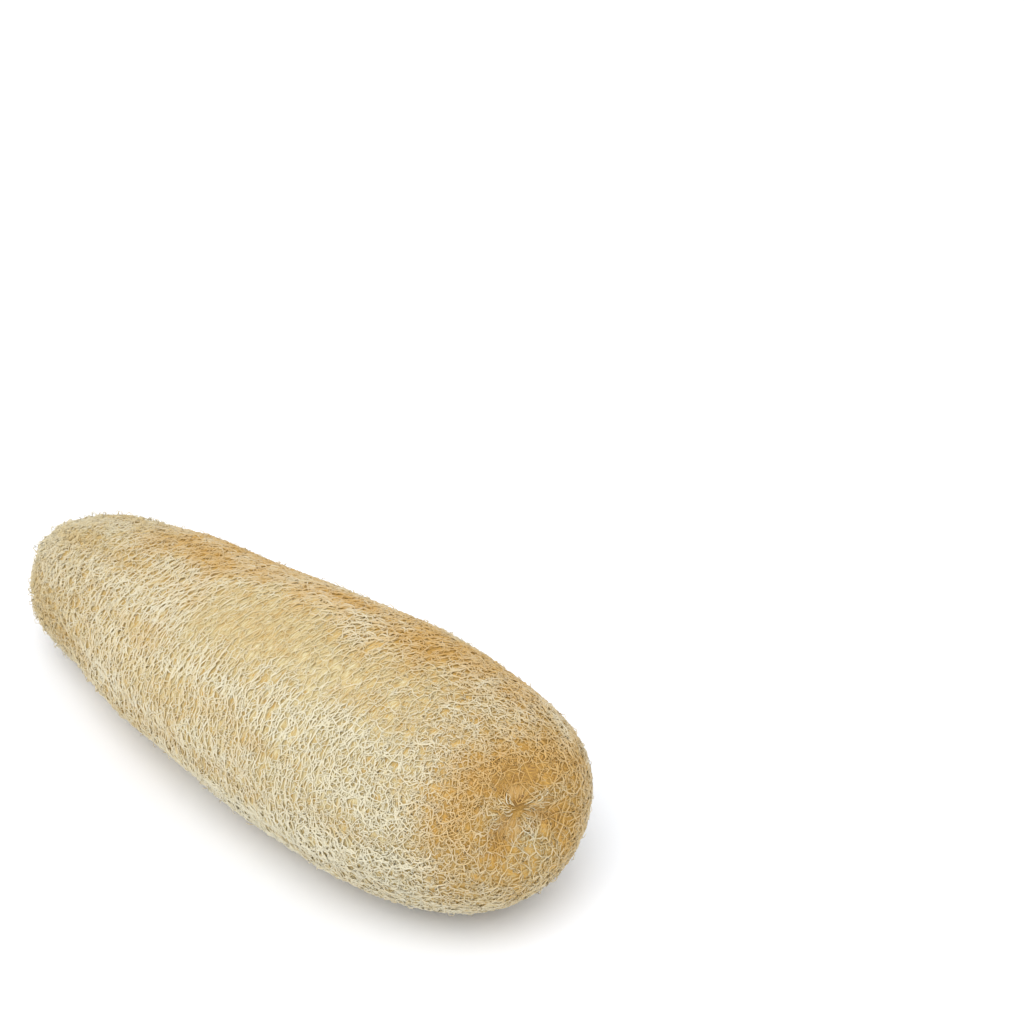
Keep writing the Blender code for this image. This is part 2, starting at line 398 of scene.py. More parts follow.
def makeFelt():
    # A closed grid of rows and columns, lifted by fine noise that is drawn out round the body, and
    # by what a place is like. It is flat where it would go under the ground.
    k = felt
    rows, columns = k["rows"], k["columns"]
    share = np.linspace(0, 1, rows + 1)[1:-1, None] * np.ones(columns)
    way = np.arange(columns) / columns * np.ones((rows - 1, 1))
    walked, angle = share * wholeWalk, way * turn
    here = places(walked, angle)
    grain = noiseAt(walked, angle, "grain") * (1 - k["mattedSmooth"] * here["matted"])
    height = k["level"] + k["grain"] * grain + k["mattedRise"] * here["matted"]
    height = height - k["blossomDrop"] * here["blossom"] * (1 - here["hollow"])
    height = height + k["hollowRise"] * here["hollow"]
    body = skinAt(walked, angle, height)[0].reshape(-1, 3)
    ends = np.array([0.0, wholeWalk])
    tips = skinAt(ends, np.zeros(2), np.full(2, k["level"]))[0]
    points = np.concatenate([body, tips])
    points[:, 2] = np.maximum(points[:, 2], 0.0)

    i, j = np.meshgrid(np.arange(rows - 2), np.arange(columns), indexing="ij")
    i, j = i.ravel(), j.ravel()
    here0, here1 = i * columns + j, i * columns + (j + 1) % columns
    quads = np.stack([here0, here0 + columns, here1 + columns, here1], 1)
    j = np.arange(columns)
    last = (rows - 2) * columns
    stemFan = np.stack([np.full(columns, len(body)), j, (j + 1) % columns], 1)
    scarFan = np.stack([np.full(columns, len(body) + 1), last + (j + 1) % columns, last + j], 1)

    # The bake map is the grid itself, a step to each column and row.
    iq, jq = quads[:, 0] // columns + 1, quads[:, 0] % columns
    uvQuads = np.stack([jq, iq, jq, iq + 1, jq + 1, iq + 1, jq + 1, iq], 1)
    uvStem = np.stack([j + 0.5, j * 0, j, j * 0 + 1, j + 1, j * 0 + 1], 1)
    uvScar = np.stack([j + 0.5, j * 0 + rows, j + 1, j * 0 + rows - 1, j, j * 0 + rows - 1], 1)
    uv = np.concatenate([part.reshape(-1, 2) for part in (uvQuads, uvStem, uvScar)])
    uv = uv / np.array([columns, rows])
    here["lowerHollow"] = here["hollow"] * ease(-2 * here["upper"])
    # The low tone is partly painted shade, and the raised warmth partly a painted warm glow.
    tone = k["toneAt"] + weighed(here, k["tone"])
    warm = k["warmthAt"] + k["warmShare"] * warmth(here) + weighed(here, k["warmth"])
    values = {"tone": tone, "warmth": warm}
    values = {name: np.concatenate([v.ravel(), [v[0, 0], v[-1, 0]]]) for name, v in values.items()}
    print("felt:", rows, "rows of", columns)
    return meshFrom("felt", points, [quads, stemFan, scarFan], uv, values)


def spreadOver(count, seed):
    # Places with even cover: multiples of two fixed numbers, less their whole part, the first of
    # them bent by the skin's area up to each round. Each seed starts elsewhere.
    rounds = np.linspace(0, wholeWalk, 400)
    ways = np.linspace(0, turn, 24, endpoint=False)
    w, a = np.meshgrid(rounds, ways, indexing="ij")
    size = np.linalg.norm(bareFrame(w, a)[2], axis=-1).mean(axis=1)
    area = np.concatenate([[0], np.cumsum((size[1:] + size[:-1]) / 2)])
    n = np.arange(count) + 0.5
    golden, silver = 0.7548776662466927, 0.5698402909980532
    first = np.mod(n * golden + seed * 0.137, 1)
    second = np.mod(n * silver + seed * 0.411, 1)
    return np.interp(first * area[-1], area, rounds), second * turn


walk = {
    "curl": 0.20,  # spread of the steady bend of a strand, in sways a step
    "endGap": 0.0015,  # how close to the two ends of the skin a strand may come
    "mostTurn": 0.6,  # and how far round it may go in one step
}


def layStrands(k, walked, angle, heading, bend, rng):
    # Walks each strand over the skin in even steps: its turn away from the round is its heading,
    # the place's own combing, and sway times bend times a sine of its own wavelength.
    count = len(walked)
    wave = rng.uniform(*k["wave"], count)
    phase = rng.uniform(0, turn, count)
    side = np.where(rng.uniform(size=count) < 0.5, -1, 1)
    curl = rng.normal(0, walk["curl"], count)
    tracks = []
    for i in range(k["points"]):
        tracks.append(np.stack([walked, angle]))
        here = bareFrame(walked, angle)
        swing = np.sin(turn * i * k["step"] / wave + phase) + curl * i
        turned = heading + noiseAt(walked, angle, "comb") + k["sway"] * bend * swing
        roundWay = unit(here[2])
        alongWay = unit(np.cross(roundWay, here[3]))
        go = (np.cos(turned) * side)[:, None] * roundWay + np.sin(turned)[:, None] * alongWay
        # The step in metres becomes a step in walked and angle through the skin's two slopes.
        e, f, g = [(a * b).sum(-1) for a, b in ((here[1],) * 2, here[1:3], (here[2],) * 2)]
        p, q = (go * here[1]).sum(-1), (go * here[2]).sum(-1)
        det = np.maximum(e * g - f * f, 1e-12)
        walked = walked + k["step"] * (g * p - f * q) / det
        walked = np.clip(walked, walk["endGap"], wholeWalk - walk["endGap"])
        angle = angle + np.clip(k["step"] * (e * q - f * p) / det, -walk["mostTurn"], walk["mostTurn"])
    return np.stack(tracks, -1)


tube = {
    "softness": 1.0,  # how much of the skin's normal is in the shading
    # painted shade and a painted warm glow: tone taken off and warmth added on the flanks
    "paintedFlank": {"tone": -0.58, "warmth": 0.30},
    "lowest": (0.0001, 0.00005),  # least height of the first edge, and a step for the next
}


def tubes(name, centre, normal, radius, attributes):
    # Closed three-sided tubes along rows of centre points, each with an edge outwards. The shading
    # normals are the tube's own plus a share of the skin's. The flanks are painted darker and more
    # amber: painted shade on the sides of each strand, and a painted warm glow for the light that
    # dry fibre lets through.
    count, points = centre.shape[:2]
    ahead = unit(np.gradient(centre, axis=1))
    side = unit(np.cross(ahead, normal))
    top = np.cross(side, ahead)
    sides = np.arange(3) / 3 * turn
    spokes = np.cos(sides)[:, None] * top[:, :, None] + np.sin(sides)[:, None] * side[:, :, None]
    rings = centre[:, :, None] + radius[:, :, None, None] * spokes
    soft = unit(spokes + tube["softness"] * normal[:, :, None]).reshape(-1, 3)
    rings[..., 2] = np.maximum(rings[..., 2], tube["lowest"][0] + tube["lowest"][1] * np.arange(3))
    index = np.arange(count * points * 3).reshape(count, points, 3)
    a, b = index[:, :-1], index[:, 1:]
    quads = np.stack([a, np.roll(a, -1, 2), np.roll(b, -1, 2), b], -1).reshape(-1, 4)
    starts, ends = index[:, 0, ::-1], index[:, -1]

    # Each strand has its own cell of the bake map, with its caps in the cell's ends.
    across = math.ceil(math.sqrt(count))
    cell = np.stack([np.arange(count) % across, np.arange(count) // across], -1)
    i, s = np.meshgrid(np.arange(points - 1), np.arange(3), indexing="ij")
    u0, u1 = 0.1 + 0.8 * i / (points - 1), 0.1 + 0.8 * (i + 1) / (points - 1)
    v0, v1 = 0.08 + 0.84 * s / 3, 0.08 + 0.84 * (s + 1) / 3
    strip = np.stack([u0, v0, u0, v1, u1, v1, u1, v0], -1).reshape(1, -1, 2)
    startCap = np.array([[[0.02, 0.1], [0.02, 0.9], [0.08, 0.5]]])
    endCap = np.array([[[0.98, 0.1], [0.98, 0.9], [0.92, 0.5]]])
    uv = np.concatenate([(cell[:, None] + part).reshape(-1, 2) for part in (strip, startCap, endCap)])
    # The two lower edges of each ring get the painted shade and painted warm glow of the flanks.
    values = {label: v.reshape(count, points, 1) + tube["paintedFlank"][label] * np.array([0, 1, 1])
              for label, v in attributes.items()}
    piece = meshFrom(name, rings.reshape(-1, 3), [quads, starts, ends], uv / across, values)
    piece.data.normals_split_custom_set_from_vertices(soft.tolist())
    return piece


scatter = {
    "tries": 8,  # places tried for each strand
    "jitter": 0.0004,
    "looseTurn": {"stem": 0.9, "blossom": 0.4},  # how much more they turn at the two ends
    "looseSway": 0.8,
    "mattedFlat": 0.8,  # the share of the weave that matting takes away
    "mattedThin": 0.25,  # and of the thickness
    "thickness": (0.75, 1.25),
    "taper": 0.5,  # how much thinner a strand is at its ends
}

# The layers of strands. A level is a height over the skin.
curlyStrands = {
    "count": 5950, "points": 5, "step": 0.0012, "radius": 0.00023, "level": 0.00024,
    "weave": 0.00022, "waves": (0.4, 1.0), "sink": 0.0010, "spread": 0.60, "sway": 1.1,
    "wave": (0.0038, 0.0065), "tone": 1.0, "toneSpread": 0.22, "warmShare": 0.8, "warm": 0.0,
    "mattedSink": 0.00022, "inHollow": 0.0, "onBody": 0.75, "onBlossom": 0.1, "onStem": 0.2,
    "heading": 0.0, "onRib": -2.0, "seed": 3,
}
capCurls = dict(curlyStrands, count=3700, step=0.0013, level=0.00020, spread=1.1, seed=13,
                wave=(0.0042, 0.0080), tone=0.85, inHollow=0.12, onBody=0.0, onBlossom=1.0, onStem=0.0)
innerStrands = dict(curlyStrands, count=2650, points=4, step=0.0022, radius=0.00024, level=-0.00050,
                    weave=0.00014, waves=(0.6, 1.4), sink=0.0005, spread=0.50, sway=0.60, seed=1,
                    wave=(0.006, 0.012), tone=-0.05, toneSpread=0.35, warmShare=1.1, warm=0.12,
                    mattedSink=0.0, inHollow=0.5, onBody=0.7, onBlossom=1.0, onStem=0.7)
# Thick pale strands that run along the ribs
arms = dict(curlyStrands, count=420, step=0.0014, radius=0.00031, level=0.00034, weave=0.00010,
            waves=(0.4, 0.9), sink=0.0008, spread=0.30, sway=0.5, wave=(0.008, 0.014), seed=14,
            toneSpread=0.1, warmShare=0.5, warm=-0.05, mattedSink=0.00045, onBody=1.0,
            onBlossom=0.5, onStem=0.4, heading=1.35, onRib=0.45)


def keepShare(k, here):
    # The share of strands or knots that a place keeps: less in a bare hollow, none in the scar's
    # middle, onBody, onBlossom and onStem along the body, and only where the ribs are over onRib.
    share = (1 - (1 - k["inHollow"]) * here["bare"]) * (1 - here["core"])
    share = share * (here["rib"] > k["onRib"])
    ends = (k["onBlossom"] - k["onBody"]) * here["blossom"] + (k["onStem"] - k["onBody"]) * here["stem"]
    return share * (k["onBody"] + ends)


def strandColours(k, here, rng):
    # Each strand has a tone of its own round the layer's, and the tone and warmth of its place.
    tone = k["tone"] + k["toneSpread"] * rng.normal(0, 1, (len(here["cap"]), 1))
    tone = tone + weighed(here, look["tone"])
    return {"tone": np.clip(tone, -1, 1), "warmth": k["warmShare"] * warmth(here) + k["warm"]}


def makeStrands(name, k):
    # Short strands follow the rounds, each turned a little, weave up and down by a sine, and dive
    # in the outer thirds. They lie lower and flatter where the surface is matted.
    rng = np.random.default_rng(k["seed"])
    walked, angle = spreadOver(k["count"] * scatter["tries"], k["seed"])
    walked = walked + rng.normal(0, scatter["jitter"], len(walked))
    kept = rng.uniform(size=len(walked)) < keepShare(k, places(walked, angle))
    walked, angle = walked[kept][: k["count"]], angle[kept][: k["count"]]
    count, points = len(walked), k["points"]
    start = places(walked, angle)
    heading = rng.normal(0, 1, count) * (k["spread"] + weighed(start, scatter["looseTurn"]))
    heading = heading + k["heading"] * np.where(rng.uniform(size=count) < 0.5, -1, 1)
    bend = 1 + scatter["looseSway"] * (start["blossom"] + start["stem"])
    walked, angle = layStrands(k, walked, angle, heading, bend, rng)
    here = places(walked, angle)
    t = np.linspace(0, 1, points)
    fromMiddle = np.abs(2 * t - 1)
    dive = np.clip(fromMiddle * 1.5 - 0.5, 0, 1) ** 2
    phase = rng.uniform(0, turn, (count, 1))
    waves = rng.uniform(*k["waves"], (count, 1))
    weave = k["weave"] * (1 - scatter["mattedFlat"] * here["matted"])
    height = k["level"] + weave * np.sin(phase + turn * waves * t)
    height = height - k["sink"] * dive - k["mattedSink"] * here["matted"]
    centre, normal = skinAt(walked, angle, height)
    thick = rng.uniform(*scatter["thickness"], (count, 1))
    thick = thick * (1 - scatter["mattedThin"] * here["matted"])
    radius = k["radius"] * thick * (1 - scatter["taper"] * fromMiddle ** 3)
    print("strands:", name, count, "of", points, "points")
    return tubes(name, centre, normal, radius, strandColours(k, here, rng))


# The net: links between scattered knots, with long cells round the body
net = {
    "knots": 6950,
    "neighbours": 12,
    "openness": 0.92,  # 1 leaves few links and large cells, less leaves more
    "stretch": 2.3,  # how much longer the cells are round the body than along it
    "stem": (0.080, 0.160),  # where the cells grow long, from the stem end
    "blossom": (0.030, 0.072),  # and from the blossom end
    "tries": 1.2,  # places tried for each knot
    "jitter": 0.0013,
    "scarGap": 0.003,  # no knot is closer to the scar's middle
    "endGap": 0.002,  # nor to the ends of the skin once it has strayed
    "mostTurn": 1.0,  # the farthest round that a link goes
    "evened": 0.35,  # how far each knot moves to the middle of those it is linked to
    "longest": 0.0050,  # a link, round the body
    "breakOver": 0.0020,  # links longer than this have a bend in the middle
    "stray": 0.16,  # how far out the bend is, as a share of the link
    "radius": 0.00023, "thickness": (0.7, 1.3), "endThickness": (0.8, 1.2), "ribThick": 0.15,
    "level": 0.00006, "weave": 0.00022, "ribRise": 0.00016, "mattedSink": 0.00016,
    "tone": 0.95, "toneSpread": 0.22, "warmShare": 0.8, "warm": 0.0, "seed": 5,
    "inHollow": 0.05, "onBody": 1.0, "onBlossom": 0.75, "onStem": 0.25, "onRib": -2.0,
}
upperNet = dict(net, seed=12)
middleNet = dict(net, level=-0.00018, tone=0.60, warmShare=0.9, warm=0.04)
# No link is over breakOver here, so they are all straight
lowerNet = dict(net, knots=5900, onBlossom=0.8, onStem=0.5, breakOver=1, level=-0.00042,
                tone=0.10, warmShare=1.0, warm=0.10, radius=0.00027, seed=21)


def nearLinks(knots, k):
    # Links each knot to those near it, unless a third knot lies nearer to both: the longer of
    # its two distances is under openness times the link. Done in batches, to save memory.
    most, count, batch = k["neighbours"], len(knots), 1000
    size = (knots ** 2).sum(-1)
    near = np.empty((count, most), int)
    for first in range(0, count, batch):
        part = slice(first, first + batch)
        apart = size[part, None] + size - 2 * knots[part] @ knots.T
        near[part] = np.argpartition(apart, most + 1, axis=1)[:, :most]
    span = np.linalg.norm(knots[near] - knots[:, None], axis=-1)
    between = np.linalg.norm(knots[near][:, :, None] - knots[near][:, None], axis=-1)
    third = np.maximum(span[:, None, :], between) < k["openness"] * span[:, :, None]
    itself = span < 1e-9
    third = third & ~itself[:, None, :] & ~np.eye(most, dtype=bool)
    good = ~third.any(-1) & ~itself & (span < k["longest"] * k["stretch"])
    a = np.repeat(np.arange(count), most)[good.ravel()]
    b = near.ravel()[good.ravel()]
    pairs = np.unique(np.stack([np.minimum(a, b), np.maximum(a, b)], 1), axis=0)
    return pairs[:, 0], pairs[:, 1]


def evened(walked, angle, a, b, share):
    # Moves each knot that has two or more links the given share of the way to the middle of
    # its neighbours.
    ahead, aside = walked[b] - walked[a], shortWay(angle[b] - angle[a])
    links = np.bincount(np.concatenate([a, b]), minlength=len(walked))
    share = share * (links > 1) / np.maximum(links, 1)
    moves = [np.bincount(a, d, len(walked)) - np.bincount(b, d, len(walked)) for d in (ahead, aside)]
    return walked + share * moves[0], angle + share * moves[1]


def bent(walked, angle, a, b, k, rng):
    # Breaks each long link in two, at a new knot in its middle that strays to one side.
    ahead, aside = walked[b] - walked[a], shortWay(angle[b] - angle[a])
    reach = np.linalg.norm(bareFrame(walked[a], angle[a])[2], axis=-1)
    long = np.hypot(ahead, aside * reach) > k["breakOver"]
    start, end, ahead, aside, reach = (v[long] for v in (a, b, ahead, aside, reach))
    stray = rng.normal(0, k["stray"], len(start))
    walkedMiddle = walked[start] + ahead / 2 - stray * aside * reach
    angleMiddle = angle[start] + aside / 2 + stray * ahead / reach
    middle = len(walked) + np.arange(len(start))
    a, b = np.concatenate([a[~long], start, middle]), np.concatenate([b[~long], middle, end])
    return np.concatenate([walked, walkedMiddle]), np.concatenate([angle, angleMiddle]), a, b


def makeNet(name, k):
    # Knots are scattered evenly, strayed, linked and evened. The distances between them are drawn
    # out along the body, so that more links run round it. Long links are bent.
    rng = np.random.default_rng(k["seed"])
    walked, angle = spreadOver(int(k["knots"] * k["tries"]), k["seed"])
    share = keepShare(k, places(walked, angle)) * ((wholeWalk - walked) > k["scarGap"])
    kept = rng.uniform(size=len(walked)) < share
    walked, angle = walked[kept][: k["knots"]], angle[kept][: k["knots"]]
    reach = np.linalg.norm(bareFrame(walked, angle)[2], axis=-1)
    walked = walked + rng.normal(0, k["jitter"], len(walked)) / k["stretch"] ** 0.5
    angle = angle + rng.normal(0, k["jitter"], len(walked)) * k["stretch"] ** 0.5 / reach
    walked = np.clip(walked, k["endGap"], wholeWalk - k["endGap"])
    long = rise(stations, k["stem"]) * rise(skin["length"] - stations, k["blossom"])
    drawn = stations + (k["stretch"] - 1) * np.cumsum(long * np.gradient(stations))
    knots, along = bareSkin(walked, angle)[:2]
    knots[:, 0] = np.interp(along, stations, drawn)
    a, b = nearLinks(knots, k)
    fits = np.abs(shortWay(angle[b] - angle[a])) < k["mostTurn"]
    a, b = a[fits], b[fits]
    walked, angle = evened(walked, angle, a, b, k["evened"])
    walked, angle, a, b = bent(walked, angle, a, b, k, rng)
    walked = np.clip(walked, k["endGap"], wholeWalk - k["endGap"])
    here = places(walked, angle)
    height = k["level"] + rng.normal(0, k["weave"], len(walked))
    height = height + k["ribRise"] * here["rib"] - k["mattedSink"] * here["matted"]
    centre, normal = skinAt(walked, angle, height)
    here = {label: np.stack([v[a], v[b]], 1) for label, v in here.items()}
    thick = rng.uniform(*k["thickness"], len(a)) * k["radius"]
    radius = np.stack([thick, thick * rng.uniform(*k["endThickness"], len(a))], 1)
    radius = radius * (1 + k["ribThick"] * here["rib"])
    print("net:", name, len(walked), "knots,", len(a), "links")
    ends = np.stack([a, b], 1)
    return tubes(name, centre[ends], normal[ends], radius, strandColours(k, here, rng))


# Loose hairs and curls: thin ends and loops that stand off the surface, most at the stem end
hairs = {
    "tries": 30,  # places tried for each hair
    "stemReach": 0.14,  # how far from the stem tip the curls there are tried
    "root": 0.0006,  # depth that a hair starts from
    "arch": (0.5, 1.0),  # how much of its arch it has
    "rise": (0.3, 1.0),
    "thickness": (0.8, 1.3),
    "taper": 0.4,
}
looseHairs = {
    "count": 1700, "points": 4, "step": 0.0014, "radius": 0.00018, "lift": 0.0017, "stemLift": 0.9,
    "spread": 0.8, "sway": 0.8, "wave": (0.004, 0.008), "onBody": 0.22, "onStem": 1.0, "tone": 0.9,
    "toneSpread": 0.15, "warmShare": 0.6, "warm": 0.0, "seed": 6,
}
stemCurls = dict(looseHairs, count=3000, points=7, step=0.0011, radius=0.00022, lift=0.0009,
                 stemLift=0.6, spread=1.6, sway=2.0, wave=(0.0055, 0.0100), onBody=0.0, tone=0.8,
                 toneSpread=0.25, warmShare=0.8, seed=7)


def makeHairs(name, k):
    # A hair starts under the surface, rises in an arch, and comes down again or stays up.
    rng = np.random.default_rng(k["seed"])
    walked, angle = spreadOver(k["count"] * hairs["tries"], k["seed"])
    near = walked < (wholeWalk if k["onBody"] > 0 else hairs["stemReach"])
    walked, angle = walked[near], angle[near]
    start = places(walked, angle)
    share = k["onBody"] + (k["onStem"] - k["onBody"]) * start["stem"]
    share = share * (1 - start["matted"]) * (1 - start["hollow"])
    kept = rng.uniform(size=len(walked)) < share
    walked, angle = walked[kept][: k["count"]], angle[kept][: k["count"]]
    count = len(walked)
    stem = start["stem"][kept][:count, None]
    heading = rng.normal(0, k["spread"], count)
    walked, angle = layStrands(k, walked, angle, heading, np.ones(count), rng)
    t = np.linspace(0, 1, k["points"])
    arch = rng.uniform(*hairs["arch"], (count, 1))
    lift = k["lift"] * rng.uniform(*hairs["rise"], (count, 1)) * (1 + k["stemLift"] * stem)
    height = (lift + hairs["root"]) * np.sin(np.pi * t * arch) - hairs["root"]
    centre, normal = skinAt(walked, angle, height)
    radius = k["radius"] * rng.uniform(*hairs["thickness"], (count, 1)) * (1 - hairs["taper"] * t)
    print("hairs:", name, count)
    return tubes(name, centre, normal, radius, strandColours(k, places(walked, angle), rng))


# The scar: pale tufts on its ridges, and thin threads that run out of its middle
scarTufts = {
    "count": 84, "points": 4, "marks": (9.0, 151.0, 285.0), "spread": 0.42, "start": (0.002, 0.009),
    "length": (0.002, 0.005), "bend": 0.30, "level": 0.0001, "lift": 0.0008, "radius": 0.00021,
    "thickness": (0.7, 1.3), "taper": 0.5, "rise": (0.2, 1.0), "sink": 0.0006, "tone": 0.75,
    "toneSpread": 0.20, "warm": 0.30, "warmSpread": 0.25, "seed": 8,
}
scarThreads = dict(scarTufts, count=620, marks=(79.0, 204.0, 243.0, 330.0, 345.0), spread=0.32,
                   start=(0.0025, 0.006), length=(0.005, 0.011), bend=0.12, level=-0.0004,
                   lift=0.0002, radius=0.00014, tone=0.3, toneSpread=0.45, warm=0.85, seed=9)


def makeScarFibres(name, k):
    # Fibres run straight out from the scar's middle, near the marks in degrees. Each bends to one
    # side with the square of its length, arches up by lift, and sinks at both ends.
    rng = np.random.default_rng(k["seed"])
    count = k["count"]
    t = np.linspace(0, 1, k["points"])
    mark = np.radians(rng.choice(k["marks"], (count, 1))) + rng.normal(0, k["spread"], (count, 1))
    out = rng.uniform(*k["start"], (count, 1)) + rng.uniform(*k["length"], (count, 1)) * t
    angle = mark + rng.normal(0, k["bend"], (count, 1)) * t ** 2
    walked = wholeWalk - out
    lift = k["lift"] * rng.uniform(*k["rise"], (count, 1))
    height = k["level"] - k["sink"] * (2 * t - 1) ** 2 + lift * np.sin(np.pi * t)
    centre, normal = skinAt(walked, angle, height)
    radius = k["radius"] * rng.uniform(*k["thickness"], (count, 1))
    radius = radius * (1 - k["taper"] * np.abs(2 * t - 1) ** 3)
    tone = np.clip(k["tone"] + rng.normal(0, k["toneSpread"], (count, 1)) + 0 * t, -1, 1)
    warm = k["warm"] + rng.normal(0, k["warmSpread"], (count, 1)) + 0 * t
    print("scar fibres:", name, count)
    return tubes(name, centre, normal, radius, {"tone": tone, "warmth": warm})


# Specks: short dark ends between the strands
specks = {
    "count": 420, "points": 3, "step": 0.0004, "radius": 0.00021, "taper": (0.5, 1.0, 0.5),
    "thickness": (0.6, 1.2), "level": 0.00002, "spread": 0.4, "sway": 0.1, "wave": (0.005, 0.009),
    "warm": 1.75, "warmSpread": 0.2, "seed": 10,
}


def makeSpecks(name, k):
    # Very short strands that lie along the rounds just under the top ones.
    rng = np.random.default_rng(k["seed"])
    walked, angle = spreadOver(k["count"], k["seed"])
    heading = rng.normal(0, k["spread"], k["count"])
    walked, angle = layStrands(k, walked, angle, heading, np.ones(k["count"]), rng)
    centre, normal = skinAt(walked, angle, np.full(walked.shape, k["level"]))
    radius = k["radius"] * rng.uniform(*k["thickness"], (k["count"], 1)) * np.array(k["taper"])
    warm = k["warm"] + rng.normal(0, k["warmSpread"], (k["count"], 1)) + np.zeros(3)
    print("specks:", k["count"])
    return tubes(name, centre, normal, radius, {"tone": 0 * warm, "warmth": warm})


# The finish of the fibre
fibre = {
    "cream": (0.75, 0.70, 0.54, 1.0), "straw": (0.65, 0.56, 0.32, 1.0),
    "gold": (0.47, 0.33, 0.13, 1.0), "amber": (0.61, 0.36, 0.09, 1.0), "brown": (0.24, 0.13, 0.05, 1.0),
}
dryStrand = {"blotch": (240.0, 0.6), "roughness": 0.45, "specular": 0.45, "grain": 2600.0,
             "bump": (0.25, 0.0001)}  # strength and depth
mattedFelt = {
    "blotch": (300.0, 1.2),  # scale and strength
    "roughness": 0.85,
    "specular": 0.15,
    "streaks": (105.0, 620.0, 1.0),  # across and along the bake map
    "twist": 0.8,
    "trough": (-3.0, 1.5),  # warmth from the streaks: slope, and start
    "crest": (5.0, -2.5),  # and tone
    "bump": (0.8, 0.0004),
}


def feed(tree, socket, value):
    # Gives a socket its value, which is a constant or another node's socket.
    if isinstance(value, (int, float, tuple)):
        socket.default_value = value
    else:
        tree.links.new(value, socket)


def attribute(tree, name):
    # The socket of a value that the mesh keeps on its points.
    node = tree.nodes.new("ShaderNodeAttribute")
    node.attribute_type = "GEOMETRY"
    node.attribute_name = name
    return node.outputs["Fac"]


def mathNode(tree, operation, *values, clamp=False):
    # One step of arithmetic.
    node = tree.nodes.new("ShaderNodeMath")
    node.operation = operation
    node.use_clamp = clamp
    for socket, value in zip(node.inputs, values):
        feed(tree, socket, value)
    return node.outputs[0]


def mixColours(tree, factor, a, b):
    # Colour a where the factor is 0, and b where it is 1.
    node = tree.nodes.new("ShaderNodeMix")
    node.data_type = "RGBA"
    for number, value in ((0, factor), (6, a), (7, b)):
        feed(tree, node.inputs[number], value)
    return node.outputs[2]


def noiseNode(tree, vector, scale, detail, roughness=0.5):
    # Noise from 0 to 1, round 0.5.
    node = tree.nodes.new("ShaderNodeTexNoise")
    given = {"Vector": vector, "Scale": scale, "Detail": detail, "Roughness": roughness}
    for name, value in given.items():
        feed(tree, node.inputs[name], value)
    return node.outputs["Fac"]


def fibreTint():
    # Dried fibre: tone goes from gold at -1 over straw at 0 to cream at 1, warmth then goes on to
    # amber and past 1 to brown, and both are blotchy.
    group = bpy.data.node_groups.new("fibreTint", "ShaderNodeTree")
    face = group.interface
    for name, value in (("Tone", 0.5), ("Warmth", 0.0), ("Blotch Scale", 200.0), ("Blotch", 0.5)):
        face.new_socket(name, in_out="INPUT", socket_type="NodeSocketFloat").default_value = value
    face.new_socket("Colour", in_out="OUTPUT", socket_type="NodeSocketColor")
    given, out = group.nodes.new("NodeGroupInput").outputs, group.nodes.new("NodeGroupOutput")
    place = group.nodes.new("ShaderNodeTexCoord").outputs["Object"]
    blotches = noiseNode(group, place, given["Blotch Scale"], detail=4.0, roughness=0.6)
    offset = mathNode(group, "MULTIPLY", mathNode(group, "SUBTRACT", blotches, 0.5), given["Blotch"])
    tone = mathNode(group, "ADD", given["Tone"], offset)
    warm = mathNode(group, "SUBTRACT", given["Warmth"], offset, clamp=True)
    over = mathNode(group, "SUBTRACT", given["Warmth"], offset)
    burnt = mathNode(group, "SUBTRACT", over, 1.0, clamp=True)
    pale = mathNode(group, "ADD", tone, 0.0, clamp=True)
    deep = mathNode(group, "MULTIPLY", tone, -1.0, clamp=True)
    colour = fibre["straw"]
    for share, name in ((pale, "cream"), (deep, "gold"), (warm, "amber"), (burnt, "brown")):
        colour = mixColours(group, share, colour, fibre[name])
    group.links.new(colour, out.inputs["Colour"])
    return group


def fibreMaterial(name, tint, k):
    # A Principled shader behind the tint group, which the mesh's tone and warmth feed.
    material = bpy.data.materials.new(name)
    material.use_nodes = True
    tree = material.node_tree
    shader = tree.nodes["Principled BSDF"]
    shader.inputs["Roughness"].default_value = k["roughness"]
    shader.inputs["Specular IOR Level"].default_value = k["specular"]
    group = tree.nodes.new("ShaderNodeGroup")
    group.node_tree = tint
    group.inputs["Blotch Scale"].default_value, group.inputs["Blotch"].default_value = k["blotch"]
    tree.links.new(attribute(tree, "tone"), group.inputs["Tone"])
    tree.links.new(attribute(tree, "warmth"), group.inputs["Warmth"])
    tree.links.new(group.outputs["Colour"], shader.inputs["Base Color"])
    return material, tree, shader, group


def addBump(tree, shader, height, strength, distance):
    # Turns the shader's normal by the slopes of the height.
    bump = tree.nodes.new("ShaderNodeBump")
    bump.inputs["Strength"].default_value = strength
    bump.inputs["Distance"].default_value = distance
    tree.links.new(height, bump.inputs["Height"])
    tree.links.new(bump.outputs["Normal"], shader.inputs["Normal"])


def strandMaterial(tint):
    # Tinted by the strand's own tone and place, with a fine grain.
    material, tree, shader = fibreMaterial("dryStrand", tint, dryStrand)[:3]
    place = tree.nodes.new("ShaderNodeTexCoord").outputs["Object"]
    grain = noiseNode(tree, place, dryStrand["grain"], detail=2.0)
    addBump(tree, shader, grain, *dryStrand["bump"])
    return material


